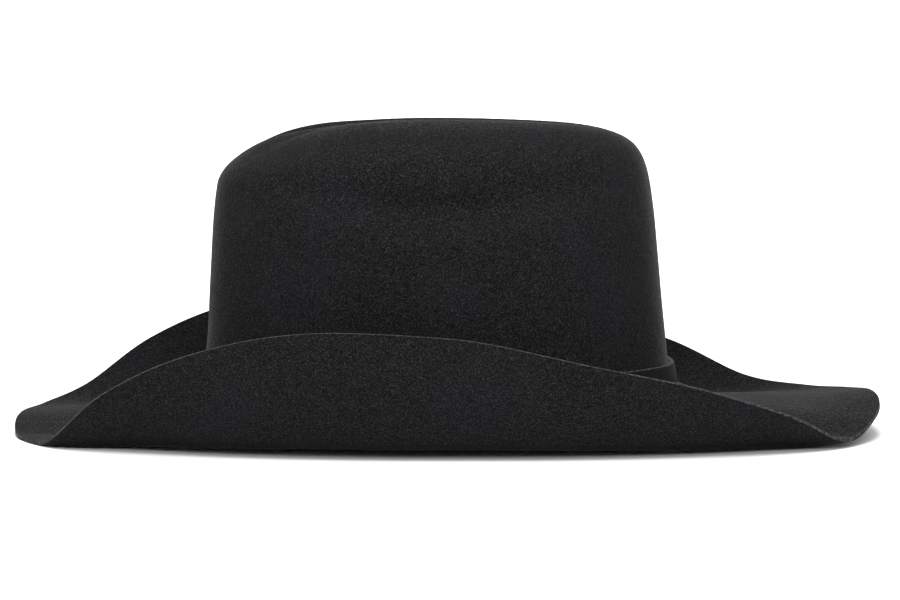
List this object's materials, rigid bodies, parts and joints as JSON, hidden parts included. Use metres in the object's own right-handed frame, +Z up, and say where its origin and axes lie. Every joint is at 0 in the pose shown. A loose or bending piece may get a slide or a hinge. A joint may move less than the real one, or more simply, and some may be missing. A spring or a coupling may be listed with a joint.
{
  "type": "felt hat",
  "caption": "Western felt hat with a creased and dented crown, curled side brim and a narrow felt band, resting on its brim.",
  "frame": {"origin": "middle of the hat's bounding box, on the surface that the brim rests on", "axes": "+X towards the front of the brim, +Y towards the wearer's left, +Z up through the crown"},
  "size_m": [0.3804, 0.251, 0.1372],
  "materials": {
    "black_felt": "matt fur felt, fine nap, raw cut brim edge",
    "band_felt": "matt felt strip, plain"
  },
  "bodies": {
    "root": {"felt_body": "black_felt", "hatband": "band_felt"}
  },
  "joints": []
}
